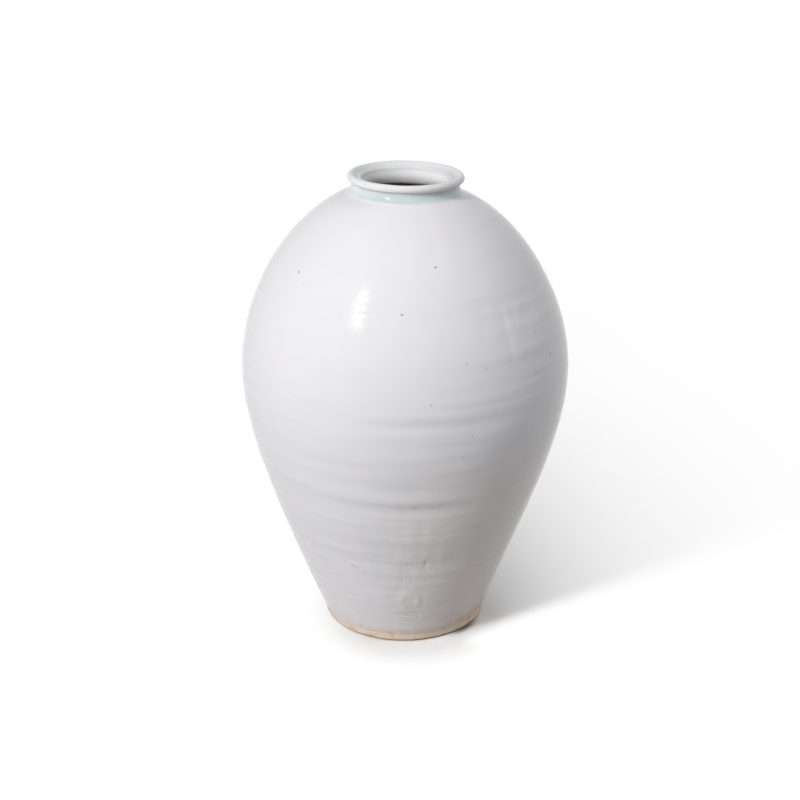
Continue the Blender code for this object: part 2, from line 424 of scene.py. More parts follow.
# %% [markdown]
# Parts of the wheel
#
# Blender's Screw modifier or a spin would turn a profile, but then every relief would have to be
# pushed in afterwards. Here the wheel is built from three small helpers: the way in which the
# clay faces at each point of a profile, the faces between its rings of points, and a weld where a
# profile starts and ends on the axis.

# %% Normals, faces and poles
SEGMENTS = 480
WELD = 0.000001


def normals_of(line):
    """Unit normals of a profile that goes up the outside, pointing away from the clay."""
    run = np.gradient(line, axis=0)
    run /= np.hypot(run[:, 0], run[:, 1])[:, None]
    return np.column_stack([run[:, 1], -run[:, 0]])


def faces_between(rings, closed):
    """Quads that join each ring of points to the next one, as rows of four point numbers."""
    ring = np.arange(rings)[:, None] * SEGMENTS + np.arange(SEGMENTS)
    upper = np.roll(ring, -1, axis=0)
    quads = [ring, np.roll(ring, -1, axis=1), np.roll(upper, -1, axis=1), upper]
    quads = np.stack(quads, axis=-1)
    return quads if closed else quads[:-1]


def weld_poles(mesh):
    """Merge the points that meet on the axis."""
    work = bmesh.new()
    work.from_mesh(mesh)
    bmesh.ops.remove_doubles(work, verts=work.verts, dist=WELD)
    work.to_mesh(mesh)
    work.free()


print("each turn has", SEGMENTS, "segments")

# %% [markdown]
# Turning a piece
#
# A closed profile goes up the outside and down the inside. Each of its points becomes a ring of
# points, and the outside ones are moved along their own normal by the relief. The relief is also
# kept on the mesh as an attribute, so that the glaze can gather in the hollows later on.

# %% The wheel
SHARP_ANGLE = 38.0


def turn_piece(name, outside, inside, relief=None):
    """Turn a piece from an outside that goes up and an inside that goes down."""
    line = np.vstack([outside, inside])
    closed = line[0, 0] > 0.0
    bearing = np.broadcast_to(np.arange(SEGMENTS) * 360.0 / SEGMENTS, (len(line), SEGMENTS))
    radius = np.repeat(line[:, :1], SEGMENTS, axis=1)
    height = np.repeat(line[:, 1:], SEGMENTS, axis=1)
    raised = np.zeros_like(radius)
    if relief is not None:
        skin = slice(0, len(outside))
        raised[skin] = relief(bearing[skin], height[skin], radius[skin])
        normal = normals_of(outside)
        radius[skin] += raised[skin] * normal[:, :1]
        height[skin] += raised[skin] * normal[:, 1:]
    points = settle(radius, bearing, height) * MM
    quads = faces_between(len(line), closed)
    mesh = bpy.data.meshes.new(name)
    mesh.from_pydata(points.reshape(-1, 3), [], quads.reshape(-1, 4))
    depth = mesh.attributes.new("glaze_depth", "FLOAT", "POINT")
    depth.data.foreach_set("value", -raised.ravel().astype(np.float32))
    is_inside = np.arange(len(quads)) >= len(outside) - 1
    mesh.polygons.foreach_set("material_index", np.repeat(is_inside, SEGMENTS).astype(np.int32))
    if not closed:
        weld_poles(mesh)
    mesh.shade_smooth()
    mesh.set_sharp_from_angle(angle=math.radians(SHARP_ANGLE))
    piece = bpy.data.objects.new(name, mesh)
    bpy.context.scene.collection.objects.link(piece)
    print(name, "has", len(mesh.polygons), "faces")
    return piece


print("corners over", SHARP_ANGLE, "degrees stay sharp")

# %% [markdown]
# Rows, corners and the throat
#
# Three helpers draw what most of the profiles are made of: a stretch of the wall's own line, as
# deep in the clay as is asked for, a rounded corner, and the throat. The throat is pinched a
# little, as by a hand that closes the neck, and is narrowest under the lip.

# %% Helpers for the profiles
CORNER_ROWS = 5
THROAT_RADIUS = 42.0
THROAT_PINCH, PINCH_HEIGHT, PINCH_WIDTH = 2.4, 438.0, 7.5

wall_normals = normals_of(wall_line)


def wall_rows(low, high, spacing, depth=0.0):
    """Evenly spaced points of the wall from one height to another, sunk by a depth."""
    start, end = np.interp([low, high], wall_line[:, 1], wall_run)
    run = np.linspace(start, end, math.ceil((end - start) / spacing) + 1)
    sunk = wall_line - wall_normals * depth
    return np.column_stack([np.interp(run, wall_run, sunk[:, side]) for side in (0, 1)])


def bend(start, corner, end, rows=CORNER_ROWS):
    """Round the corner between two points."""
    share = np.linspace(0.0, 1.0, rows + 1)[:, None]
    rest = 1.0 - share
    start, corner, end = np.array(start), np.array(corner), np.array(end)
    return start * rest**2 + corner * 2 * rest * share + end * share**2


def throat_line(high, low, rows):
    """The wall of the throat, from a high place down to a low one, pinched under the lip."""
    height = np.linspace(high, low, rows)
    radius = THROAT_RADIUS - THROAT_PINCH * bell(height - PINCH_HEIGHT, PINCH_WIDTH)
    return np.column_stack([radius, height])


print("the throat is", 2 * (THROAT_RADIUS - THROAT_PINCH), "mm across at its narrowest")

# %% [markdown]
# The three sections of the wall
#
# The lower wall, the belly and the shoulder are stretches of one line, cut at the two joins, so
# that rings, light and glaze run on from one to the next. Each has an inside of its own, one wall
# thickness in, and the shoulder also carries the flat seat of the neck, with a throat hole.

# %% Cut the wall into its three sections
WALL = 7.5
LOWER_JOIN = 175.0
OUTER_ROW = 1.5
INNER_ROW = 8.0
THROAT_ROUNDING = 2.5
THROAT_ROWS = 5

inner_lower = wall_rows(foot_top, LOWER_JOIN, INNER_ROW, WALL)
inner_run = inner_lower[0] - inner_lower[1]
inner_foot = inner_lower[0] + inner_run * (inner_lower[0, 1] - foot_top) / -inner_run[1]
lower_wall = turn_piece(
    "lower_wall",
    wall_rows(foot_top, LOWER_JOIN, OUTER_ROW),
    np.vstack([inner_lower[::-1], inner_foot]),
    wall_relief,
)
belly_wall = turn_piece(
    "belly_wall",
    wall_rows(LOWER_JOIN, widest[1], OUTER_ROW),
    wall_rows(LOWER_JOIN, widest[1], INNER_ROW, WALL)[::-1],
    wall_relief,
)
inner_dome = wall_rows(widest[1], dome_top, INNER_ROW, WALL)
to_throat = (inner_dome[-1, 0] - THROAT_RADIUS) / math.cos(math.radians(SHOULDER_SLOPE))
throat_corner = inner_dome[-1] + heading(180.0 - SHOULDER_SLOPE) * to_throat
throat_foot = throat_line(dome_top, throat_corner[1] + THROAT_ROUNDING, THROAT_ROWS)
throat_round = bend(throat_foot[-1], throat_corner, inner_dome[-1])
shoulder_wall = turn_piece(
    "shoulder_wall",
    wall_rows(widest[1], dome_top, OUTER_ROW),
    np.vstack([throat_foot, throat_round[1:], inner_dome[-2::-1]]),
    wall_relief,
)

# %% [markdown]
# Neck
#
# The neck is a short collar. Glaze fills the corner between it and the shoulder and the corner
# under the lip, so its outside isn't a cylinder between two sharp angles. It is one soft hollow,
# part of a circle that starts on the filled shoulder and ends under the bead of the lip.

# %% Turn the neck
NECK_WAIST = 50.2
NECK_HOLLOW = 11.7
LIP_HOLLOW = 1.2
HOLLOW_ROWS, UNDER_LIP_ROWS = 12, 7
BEAD = 3.55
NECK_WAVER = ((0.06, 14.0, 12.0, 10),)

bead_centre = np.array([mouth_radius - BEAD, tallest - BEAD])
hollow_top = np.array([NECK_WAIST, lip_bottom - LIP_HOLLOW])
hollow_centre = hollow_top + (NECK_HOLLOW, 0.0)
filled_to = neck_point + heading(90.0 - SHOULDER_SLOPE) * NECK_FILL
start_angle = math.degrees(math.acos((hollow_centre[0] - filled_to[0]) / NECK_HOLLOW))
hollow_angles = np.linspace(start_angle, 0.0, HOLLOW_ROWS)
under_lip = (bead_centre[0], lip_bottom)
neck_outside = np.vstack([
    [hollow_centre - heading(angle) * NECK_HOLLOW for angle in hollow_angles],
    bend(hollow_top, (NECK_WAIST, lip_bottom), under_lip, UNDER_LIP_ROWS)[1:],
])
neck_inside = throat_line(lip_bottom, dome_top, THROAT_ROWS)


def neck_relief(bearing, height, radius):
    """Slight unevenness of the glaze in the hollow, in mm."""
    return drifts(bearing, height, NECK_WAVER)


glazed_neck = turn_piece("glazed_neck", neck_outside, neck_inside, neck_relief)

# %% [markdown]
# Rolled lip
#
# The lip is a coil of clay rolled over to a bead. Inside the bead a dished ledge slopes down to a
# thin groove, and a small ridge parts the groove from the throat. The ledge leaves the bead
# without a corner, so the bead is drawn round to where a line from the groove touches it.

# %% Turn the lip
GROOVE_RADIUS = 45.0
GROOVE_DEPTH = 3.9
LEDGE_STOPS_SHORT, GROOVE_STOPS_SHORT = 0.12, 0.4
RIDGE_RISE = 0.7
RIDGE_ROUNDING = 1.4
BEAD_ROWS, LEDGE_ROWS, GROOVE_ROWS = 22, 5, 4
LIP_WAVER = ((0.16, 24.0, 60.0, 11),)

groove = np.array([GROOVE_RADIUS, tallest - GROOVE_DEPTH])
to_groove = groove - bead_centre
ledge_angle = math.degrees(math.atan2(to_groove[1], to_groove[0])) % 360.0
ledge_angle -= math.degrees(math.acos(BEAD / np.hypot(*to_groove)))
bead_angles = np.linspace(-90.0, ledge_angle, BEAD_ROWS)
bead = [bead_centre + heading(angle) * BEAD for angle in bead_angles]
ledge_end = groove + (bead[-1] - groove) * LEDGE_STOPS_SHORT
ledge = np.linspace(bead[-1], ledge_end, LEDGE_ROWS)[1:]
ridge_height = groove[1] + RIDGE_RISE
ridge = bend(
    (THROAT_RADIUS + RIDGE_ROUNDING, ridge_height),
    (THROAT_RADIUS, ridge_height),
    (THROAT_RADIUS, ridge_height - RIDGE_ROUNDING),
)
groove_end = ridge[0] + (groove - ridge[0]) * GROOVE_STOPS_SHORT
groove_floor = bend(ledge[-1], groove, groove_end, GROOVE_ROWS)[1:]


def lip_relief(bearing, height, radius):
    """Slight waver of the rolled lip, in mm."""
    return drifts(bearing, height, LIP_WAVER)


rolled_lip = turn_piece(
    "rolled_lip",
    np.vstack([bead, ledge, groove_floor]),
    np.vstack([ridge[:-1], throat_line(ridge_height - RIDGE_ROUNDING, lip_bottom, THROAT_ROWS)]),
    lip_relief,
)

# %% [markdown]
# Foot ring
#
# The foot ring was trimmed with a loop tool and left bare. Its outer edge is rubbed round, and on
# the right a little clay was dragged outwards when the jar was cut from the wheel. The marks of
# the wall fade out on their way down to it, and its underside stays flat, so that it stands well.

# %% Turn the foot ring
FOOT_EDGE = 79.2
FOOT_EDGE_ROUNDING = 2.2
FOOT_EDGE_SPREAD = 0.3
FOOT_RIM_WIDTH = 14.0
RIM_CHAMFER = 1.0
FOOT_ROWS = 6
RUBBED = ((0.22, 8.0, 7.0, 12),)
RUBBED_UP_TO, WALL_MARKS_FROM, FLAT_BELOW = 6.0, 5.0, 1.5
DRAGGED_BEARING, DRAGGED_SPREAD = 66.0, 9.0
DRAGGED_HEIGHT, DRAGGED_REACH, DRAGGED_OUT = 1.5, 2.6, 0.9


def foot_relief(bearing, height, radius):
    """Rubbed and dragged clay on the foot ring, and the last of the wall's marks, in mm."""
    dragged = bell(turn_from(bearing, DRAGGED_BEARING), DRAGGED_SPREAD) * DRAGGED_OUT
    dragged = dragged * bell(height - DRAGGED_HEIGHT, DRAGGED_REACH)
    rubbed = drifts(bearing, height, RUBBED) * (1.0 - ease(height, RUBBED_UP_TO, foot_top))
    wall_marks = wall_relief(bearing, height, radius) * ease(height, WALL_MARKS_FROM, foot_top)
    return (dragged + rubbed) * ease(height, 0.0, FLAT_BELOW) + wall_marks


edge_top = (FOOT_EDGE + FOOT_EDGE_SPREAD, FOOT_EDGE_ROUNDING)
foot_outside = np.vstack([
    bend((FOOT_EDGE - FOOT_EDGE_ROUNDING, 0.0), (FOOT_EDGE, 0.0), edge_top),
    np.linspace(edge_top, (foot_radius, foot_top), FOOT_ROWS)[1:],
])
rim_inside = FOOT_EDGE - FOOT_RIM_WIDTH
foot_inside = np.array([
    (rim_inside, foot_top),
    (rim_inside, RIM_CHAMFER),
    (rim_inside + RIM_CHAMFER, 0.0),
])
foot_rim = turn_piece("foot_rim", foot_outside, foot_inside, foot_relief)

# %% [markdown]
# Floor disc
#
# The floor of the jar lies inside the foot ring, a little way up, so that only the ring touches
# the shelf. It could be a cylinder, but its edge follows the slope of the wall, so it is turned
# like the rest. Its profile starts and ends on the axis, where the points are merged.

# %% Turn the floor disc
SLAB_ROW = 6.0

slab_radius, slab_bottom, slab_top = node_size("base_slab")
slab_rows = np.arange(0.0, slab_radius, SLAB_ROW)
edge_slope = (slab_top - slab_bottom) * math.tan(math.radians(FOOT_FLARE))
slab_under = [(radius, slab_bottom) for radius in slab_rows if radius < slab_radius - edge_slope]
slab_over = [(radius, slab_top) for radius in slab_rows[::-1]]
floor_disc = turn_piece(
    "floor_disc",
    np.array(slab_under + [(slab_radius - edge_slope, slab_bottom), (slab_radius, slab_top)]),
    np.array(slab_over),
)

# %% [markdown]
# Writing finishes as sums
#
# A finish is a tree of nodes, and most of them only do arithmetic. Placed one by one, they hide
# what is being worked out. So an output of a node is wrapped in a small class, and a sum written
# on it adds the Math nodes by itself: 1 - mask is one Subtract node.

# %% A wire
class Wire:
    """An output of a node. Sums on it become Math nodes."""

    def __init__(self, recipe, socket):
        self.recipe = recipe
        self.socket = socket

    def maths(self, operation, *values):
        """A Math node with this operation on these values."""
        settings = {"operation": operation}
        return self.recipe.node("ShaderNodeMath", settings, dict(enumerate(values)))

    def beside(self, output):
        """Another output of the same node."""
        return Wire(self.recipe, self.socket.node.outputs[output])

    def __add__(self, other):
        return self.maths("ADD", self, other)

    def __radd__(self, other):
        return self.maths("ADD", other, self)

    def __sub__(self, other):
        return self.maths("SUBTRACT", self, other)

    def __rsub__(self, other):
        return self.maths("SUBTRACT", other, self)

    def __mul__(self, other):
        return self.maths("MULTIPLY", self, other)

    def __rmul__(self, other):
        return self.maths("MULTIPLY", other, self)

    def __truediv__(self, other):
        return self.maths("DIVIDE", self, other)

    def __neg__(self):
        return self.maths("MULTIPLY", self, -1.0)


print("sums on wires become nodes")

# %% [markdown]
# The recipe of a finish
#
# All the other nodes come from one method, which takes the node's type, its settings, and the
# values or links of its inputs. The methods after it are words for what glaze and clay need again
# and again: a fade, a hump, a blend of two colours, and clouds of noise, which can be stretched or
# hardened into spots.

# %% The recipe
class Recipe:
    """The node tree of one finish, with places on the vase in millimetres."""

    def __init__(self, tree):
        self.tree = tree

    def node(self, kind, settings, values, output=0):
        """Add a node: first its settings, then the values or wires of its inputs."""
        made = self.tree.nodes.new(kind)
        for setting, value in settings.items():
            setattr(made, setting, value)
        for key, value in values.items():
            self.feed(made.inputs[key], value)
        return Wire(self, made.outputs[output])

    def feed(self, socket, value):
        """Set an input to a value, or link it to a wire."""
        if isinstance(value, Wire):
            self.tree.links.new(value.socket, socket)
        else:
            socket.default_value = value

    def fade(self, value, start, end):
        """Rise smoothly from 0 to 1 while the value goes from the start to the end."""
        ends = {"Value": value, "From Min": start, "From Max": end}
        return self.node("ShaderNodeMapRange", {"interpolation_type": "SMOOTHSTEP"}, ends)

    def hump(self, distance, width):
        """A smooth hump, 1 in the middle."""
        share = distance / width
        return share.maths("EXPONENT", -(share * share))

    def blend(self, share, first, second):
        """Mix two colours, which are inputs 6 and 7 and output 2 of a Mix node."""
        values = {0: share, 6: first, 7: second}
        return self.node("ShaderNodeMix", {"data_type": "RGBA"}, values, 2)

    def cloud(self, place, patch, detail=2.0, roughness=0.5, distortion=0.0):
        """Noise from 0 to 1 with patches of a size in mm."""
        values = {"Vector": place, "Scale": 1.0 / patch, "Detail": detail}
        values.update({"Roughness": roughness, "Distortion": distortion})
        return self.node("ShaderNodeTexNoise", {}, values)

    def spots(self, place, cloud, start, end):
        """Noise turned into spots: 0 where it is below the start, and 1 above the end."""
        return self.fade(self.cloud(place, *cloud), start, end)

    def stretched(self, place, across, up):
        """A place whose noise patches are stretched by these factors round and up the vase."""
        scale = (1.0 / across, 1.0 / across, 1.0 / up)
        return self.node("ShaderNodeVectorMath", {"operation": "MULTIPLY"}, {0: place, 1: scale})


print("ready to write finishes")

# %% [markdown]
# Where on the vase
#
# Every finish below asks the same questions: how high is this point, how far from the axis, and
# at what bearing? The object coordinates answer them, because each piece lies at the origin.

# %% Start a finish
def new_finish(name):
    """A new material, its recipe, its shader, and where each point lies in mm."""
    material = bpy.data.materials.new(name)
    material.use_nodes = True
    recipe = Recipe(material.node_tree)
    recipe.shader = material.node_tree.nodes["Principled BSDF"]
    spot = recipe.node("ShaderNodeTexCoord", {}, {}, "Object")
    enlarge = {0: spot, "Scale": 1.0 / MM}
    recipe.place = recipe.node("ShaderNodeVectorMath", {"operation": "SCALE"}, enlarge)
    across = recipe.node("ShaderNodeSeparateXYZ", {}, {0: recipe.place})
    along, recipe.height = across.beside("Y"), across.beside("Z")
    recipe.turn = across.maths("ARCTAN2", across, -along)
    recipe.bearing = recipe.turn * math.degrees(1.0)
    recipe.radius = across.maths("SQRT", across * across + along * along)
    return material, recipe


def shade(recipe, colour, roughness, bump_mm):
    """Feed the shader: colour, roughness, and a bump whose height is in mm."""
    recipe.feed(recipe.shader.inputs["Base Color"], colour)
    recipe.feed(recipe.shader.inputs["Roughness"], roughness)
    bump = recipe.node("ShaderNodeBump", {}, {"Height": bump_mm, "Distance": MM})
    recipe.feed(recipe.shader.inputs["Normal"], bump)


print("a place is known by its height, radius and bearing")

# %% [markdown]
# Stronger on the right
#
# Some tints grow from the left of the jar to its right. One fade over the bearing gives that, but
# bearings jump from 180 to -180 at the back, and the tint would jump there too, in a straight
# seam. A second fade, over the last stretch before the jump, closes it.

# %% A share that grows to the right
BACK_CLOSES = (-130.0, -178.0)


def on_the_right(recipe, start, end):
    """0 on the left of the jar, rising to 1 between two bearings, and closed at the back."""
    rising = recipe.fade(recipe.bearing, start, end)
    return rising + recipe.fade(recipe.bearing, *BACK_CLOSES)


print("the back closes from", BACK_CLOSES[0], "to", BACK_CLOSES[1], "degrees")

# %% [markdown]
# Bare clay
#
# The foot was wiped clean before the firing, so that the jar wouldn't stick to the kiln shelf. The
# clay came out a sandy beige, with orange flashes where the flame touched it, dark grains of iron,
# and a skin as rough as fine sandpaper. Clouds of noise in three sizes give the beige, the flashes
# and the grains, and two more give the skin. The bottom edge is painted dark as contact shade,
# where the ring meets the shelf, and darker at the right, on the shaded side.

# %% Clay colours and texture
CLAY_PALE = (0.86, 0.735, 0.625, 1.0)
CLAY_SANDY = (0.84, 0.685, 0.555, 1.0)
CLAY_FLASH = (0.80, 0.53, 0.33, 1.0)
CLAY_GRAIN = (0.30, 0.20, 0.13, 1.0)
# colour of the painted contact shade at the bottom edge of the foot
CLAY_CONTACT_SHADE = (0.030, 0.025, 0.022, 1.0)
CLAY_ROUGHNESS = 0.82
# A cloud is its patch (mm), detail, roughness and distortion. Spots add where they start and end.
SANDY_SPOTS = (14.0,), 0.35, 0.65
FLASH_SPOTS, FLASH_SHARE = ((9.0, 3.0, 0.55, 0.6), 0.50, 0.68), 0.9
GRAIN_SPOTS, GRAIN_SHARE = ((0.9, 1.0), 0.70, 0.80), 0.55
SAND_CLOUD, SAND_RISE = (1.1, 3.0, 0.6), 0.10
LUMP_CLOUD, LUMP_RISE = (5.0, 2.0), 0.25
CONTACT_SHADE_UP_TO = (0.8, 2.9)
CONTACT_SHADE_AT_LEFT, CONTACT_SHADE_AT_RIGHT, CONTACT_SHADE_GROWS = 0.68, 0.98, (-10.0, 40.0)


def clay_look(recipe):
    """Colour and relief in mm of the bare clay, with painted contact shade along its bottom edge.
    """
    place = recipe.place
    beige = recipe.blend(recipe.spots(place, *SANDY_SPOTS), CLAY_PALE, CLAY_SANDY)
    colour = recipe.blend(recipe.spots(place, *FLASH_SPOTS) * FLASH_SHARE, beige, CLAY_FLASH)
    colour = recipe.blend(recipe.spots(place, *GRAIN_SPOTS) * GRAIN_SHARE, colour, CLAY_GRAIN)
    # painted contact shade along the bottom edge, stronger on the shaded right
    at_right = (CONTACT_SHADE_AT_RIGHT - CONTACT_SHADE_AT_LEFT) * on_the_right(recipe, *CONTACT_SHADE_GROWS)
    contact_shaded = (1.0 - recipe.fade(recipe.height, *CONTACT_SHADE_UP_TO)) * (CONTACT_SHADE_AT_LEFT + at_right)
    colour = recipe.blend(contact_shaded, colour, CLAY_CONTACT_SHADE)
    skin = SAND_RISE * recipe.cloud(place, *SAND_CLOUD)
    return colour, skin + LUMP_RISE * recipe.cloud(place, *LUMP_CLOUD)


print("clay is ready to use")

# %% [markdown]
# Two clays
#
# The foot ring is the clay as it came from the kiln. The floor disc, which the flame hardly
# reaches, is paler in patches. It has the same look, which one more cloud blends with the palest
# colour of the clay.

# %% Finish the foot ring and the floor disc
WASHED_SPOTS, WASHED_SHARE = ((22.0, 3.0, 0.6, 1.0), 0.35, 0.62), 0.7

bare_clay, recipe = new_finish("bare_clay")
clay_colour, clay_skin = clay_look(recipe)
shade(recipe, clay_colour, CLAY_ROUGHNESS, clay_skin)
print("bare clay:", len(recipe.tree.nodes), "nodes")

floor_clay, recipe = new_finish("floor_clay")
clay_colour, clay_skin = clay_look(recipe)
washed = recipe.spots(recipe.place, *WASHED_SPOTS) * WASHED_SHARE
shade(recipe, recipe.blend(washed, clay_colour, CLAY_PALE), CLAY_ROUGHNESS, clay_skin)
print("floor clay:", len(recipe.tree.nodes), "nodes")

# %% [markdown]
# Skin of the glaze
#
# The skin of the glaze is never quite flat. It keeps fine level ribs from the thrower's fingers,
# stronger low on the wall, and upright strokes, stronger where the front was wiped. Over both
# lies a peel like that of an orange. Noise that is stretched round or up the vase gives the ribs
# and the strokes. On the shoulder four single lines of the rib cross the lamp's mirror image.

# %% Ribs, strokes and peel
# A stretch is how much longer the patches are round and up the vase.
RIB_CLOUD, RIB_STRETCH = (3.0, 3.0, 0.55), (14.0, 1.0)
RIB_RISE, RIB_RISE_LOW, RIBS_UP_TO = 0.13, 0.07, (130.0, 260.0)
STROKE_CLOUD, STROKE_STRETCH = (3.0, 2.0), (1.0, 9.0)
STROKE_RISE, STROKE_RISE_WIPED = 0.12, 0.20
PEEL_CLOUD, PEEL_RISE = (3.2, 2.0, 0.5), 0.045
RIB_LINE_WIDTH = 1.4
RIB_LINES = (
    # height, bearing, reach (degrees), depth (mm)
    (361.3, -17.0, 10.0, 0.16),
    (354.4, -17.0, 11.0, 0.18),
    (369.0, -16.0, 9.0, 0.08),
    (347.5, -15.0, 12.0, 0.10),
)


def melt_skin(recipe):
    """Relief in mm of the white glaze."""
    low = 1.0 - recipe.fade(recipe.height, *RIBS_UP_TO)
    ribs = recipe.cloud(recipe.stretched(recipe.place, *RIB_STRETCH), *RIB_CLOUD)
    ribs = (RIB_RISE + RIB_RISE_LOW * low) * ribs
    for level, bearing, reach, deep in RIB_LINES:
        line = recipe.hump(recipe.height - level, RIB_LINE_WIDTH)
        ribs = ribs - deep * line * recipe.hump(recipe.bearing - bearing, reach)
    wiped = recipe.hump(recipe.bearing - WIPED_BEARING, WIPED_SPREAD)
    wiped = wiped * recipe.fade(recipe.height, *WIPED_FROM)
    wiped = wiped * (1.0 - recipe.fade(recipe.height, *WIPED_TO))
    strokes = recipe.cloud(recipe.stretched(recipe.place, *STROKE_STRETCH), *STROKE_CLOUD)
    strokes = strokes * (STROKE_RISE + STROKE_RISE_WIPED * wiped)
    return ribs + strokes + PEEL_RISE * recipe.cloud(recipe.place, *PEEL_CLOUD)


print(len(RIB_LINES), "lines of the rib on the shoulder")

# %% [markdown]
# White glaze
#
# The glaze is a milky glass, a little blue where it is thick and a little warm where it is thin.
# Its colour clouds slowly over the wall and deepens in the hollows, whose depth the relief
# attribute gives. The gloss is set well below that of a real glaze, so that the pale room doesn't
# wash out the sides of the jar, and of all that stands round it only the lamp shows in the shine.

# %% White glaze colours and shine
GLAZE_COOL = (0.793, 0.787, 0.809, 1.0)
GLAZE_MILKY = (0.806, 0.793, 0.808, 1.0)
GLAZE_DEEP = (0.747, 0.743, 0.759, 1.0)
MILKY_SPOTS = (42.0, 3.0, 0.5), 0.3, 0.7
DEEP_FROM_TO, DEEP_SHARE = (0.15, 1.1), 0.6
GLAZE_ROUGHNESS, DULL_CLOUD, DULL_BY = 0.09, (18.0, 3.0, 0.6), 0.07
GLAZE_IOR = 1.5
GLAZE_GLOSS = 0.07


def melt_look(recipe):
    """Colour, roughness and relief in mm of the white glaze."""
    colour = recipe.blend(recipe.spots(recipe.place, *MILKY_SPOTS), GLAZE_COOL, GLAZE_MILKY)
    depth = recipe.node("ShaderNodeAttribute", {"attribute_name": "glaze_depth"}, {}, "Fac")
    colour = recipe.blend(recipe.fade(depth, *DEEP_FROM_TO) * DEEP_SHARE, colour, GLAZE_DEEP)
    roughness = GLAZE_ROUGHNESS + DULL_BY * recipe.cloud(recipe.place, *DULL_CLOUD)
    return colour, roughness, melt_skin(recipe)


def make_glassy(recipe, gloss=GLAZE_GLOSS):
    """Set the shine of a glaze, which is the same all over its piece."""
    recipe.shader.inputs["IOR"].default_value = GLAZE_IOR
    recipe.shader.inputs["Specular IOR Level"].default_value = gloss


print("white glaze is ready to use")

# %% [markdown]
# Where the glaze ends
#
# The glaze was wiped off above the foot, so its edge is not level: it dips on the left, climbs on
# the right, and ripples all the way round. A painted mask could give such an edge, but a few sine
# waves, one hump and some noise are enough, and the formula works at any size of picture.

# %% The edge of the glaze
EDGE_HEIGHT = 11.5
EDGE_CLIMB, CLIMB_BEARING, CLIMB_SPREAD = 9.0, 58.0, 20.0
# Each wave of the edge: its size (mm), how many go round the jar, and where it starts (radians).
EDGE_WAVES = ((1.3, 2.0, 0.4), (0.9, 5.0, 1.9), (0.5, 11.0, 0.2), (0.35, 19.0, 2.6))
RAGGED_CLOUD, RAGGED_BY = (4.5, 3.0, 0.6), 5.0


def above_edge(recipe):
    """Height above the edge of the glaze, in mm."""
    edge = EDGE_CLIMB * recipe.hump(recipe.bearing - CLIMB_BEARING, CLIMB_SPREAD) + EDGE_HEIGHT
    for size, waves, start in EDGE_WAVES:
        edge = edge + size * recipe.turn.maths("SINE", recipe.turn * waves + start)
    ragged = RAGGED_BY * (recipe.cloud(recipe.place, *RAGGED_CLOUD) - 0.5)
    return recipe.height - edge - ragged


print("edge of the glaze, about", EDGE_HEIGHT, "mm up")

# %% [markdown]
# From glaze to clay
#
# Just above its edge the glaze is thin, and a pink blush of the clay shows through in patches.
# Below the edge the clay takes over: its colour, its roughness, and its skin, which lies a
# glaze's thickness deeper.

# %% Blush and bare foot
# pink of the clay through thin glaze; also the warm painted shade low on the wall's right
GLAZE_BLUSH_AND_SHADE = (0.825, 0.745, 0.705, 1.0)
BLUSH_RISE, BLUSH_SHARE = 21.0, 0.9
BLUSH_SPOTS = (16.0, 3.0, 0.6), 0.25, 0.7
EDGE_SOFTNESS, GLAZE_THICKNESS = 2.4, 0.22


def with_bare_foot(recipe, colour, roughness, relief):
    """Glaze down to its edge, and clay below it."""
    over = above_edge(recipe)
    clay_colour, clay_skin = clay_look(recipe)
    blush = 1.0 - recipe.fade(over, 0.0, BLUSH_RISE)
    blush = blush * recipe.spots(recipe.place, *BLUSH_SPOTS)
    colour = recipe.blend(blush * BLUSH_SHARE, colour, GLAZE_BLUSH_AND_SHADE)
    glazed = recipe.fade(over, -EDGE_SOFTNESS, EDGE_SOFTNESS)
    colour = recipe.blend(glazed, clay_colour, colour)
    roughness = CLAY_ROUGHNESS + glazed * (roughness - CLAY_ROUGHNESS)
    relief = clay_skin + glazed * (relief - clay_skin + GLAZE_THICKNESS)
    return colour, roughness, relief


print("the blush fades out", BLUSH_RISE, "mm above the edge")

# %% [markdown]
# Blue-green where it pools
#
# Round the neck the glaze ran together, and there it is thick enough to show the pale blue-green
# of its trace of iron. It is thickest left of the middle and thin at the far left. The same tint
# lies in the dished ledge inside the lip. A blend towards one colour gives it, and its share says
# how thick the pool is.

# %% Pooled glaze
GLAZE_POOLED = (0.525, 0.645, 0.636, 1.0)
LEAST_POOLED, POOL_GROWS = 0.45, (-80.0, -42.0)
HALF_POOLED, THICKEST_BEARING, THICKEST_SPREAD = 0.64, -22.0, 24.0


def pooled(recipe, share, colour):
    """Glaze with a share of the blue-green of a deep pool."""
    sides = LEAST_POOLED + (1.0 - LEAST_POOLED) * on_the_right(recipe, *POOL_GROWS)
    thickest = recipe.hump(recipe.bearing - THICKEST_BEARING, THICKEST_SPREAD)
    thickest = HALF_POOLED + (1.0 - HALF_POOLED) * thickest
    return recipe.blend(share * sides * thickest, colour, GLAZE_POOLED)


print("the pool is thickest at", THICKEST_BEARING, "degrees")

# %% [markdown]
# Specks and scratches
#
# Iron in the clay burned through the glaze as pinhead specks, and a few scrapes picked up dirt.
# Each has its place on the jar, so each is a point with a size, and not random noise. A chain of
# points, in sizes that swell and shrink, makes a scrape.

